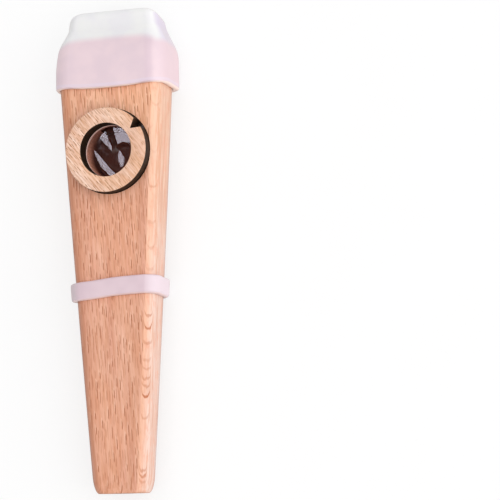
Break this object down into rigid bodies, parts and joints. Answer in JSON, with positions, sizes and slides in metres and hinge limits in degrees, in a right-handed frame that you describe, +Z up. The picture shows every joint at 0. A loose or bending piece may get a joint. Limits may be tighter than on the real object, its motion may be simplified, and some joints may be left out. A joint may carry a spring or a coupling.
{
  "type": "kazoo",
  "caption": "Tapered wooden kazoo with a round retaining ring over a clear membrane, a soft cap on the mouth end and a soft band.",
  "frame": {"origin": "on the surface the kazoo lies on, under the middle of its bounding box", "axes": "+Y along the body towards the mouth end, +Z up out of the face that carries the ring, +X to the right seen from that face with the mouth end up"},
  "size_m": [0.0318, 0.1285, 0.0175],
  "materials": {
    "beech": "sanded beech, oiled thinly, grain along the length with short dark flecks",
    "ring_beech": "bare beech sheet, laser cut, edges burnt dark brown",
    "film": "thin clear film, glossy and slightly wrinkled",
    "cap_silicone": "translucent white silicone, satin",
    "band_silicone": "translucent white silicone, satin"
  },
  "bodies": {
    "body": {"body": "beech"},
    "ring": {"retaining_ring": "ring_beech"},
    "film": {"membrane": "film"},
    "cap": {"mouthpiece_cap": "cap_silicone"},
    "band": {"body_band": "band_silicone"}
  },
  "joints": [
    {"name": "ring_lift", "type": "slide", "parent": "body", "child": "ring", "axis": [0, -0.0318, 0.9995], "range_m": [0, 0.015]},
    {"name": "membrane_lift", "type": "slide", "parent": "body", "child": "film", "axis": [0, -0.0318, 0.9995], "range_m": [0, 0.009]},
    {"name": "cap_pull", "type": "slide", "parent": "body", "child": "cap", "axis": [0, 1, 0], "range_m": [0, 0.02]},
    {"name": "band_slide", "type": "slide", "parent": "body", "child": "band", "axis": [0, -1, 0], "range_m": [0, 0.065]}
  ],
  "couplings": [
    {"joint": "membrane_lift", "follows": "ring_lift", "ratio": 0.6}
  ]
}
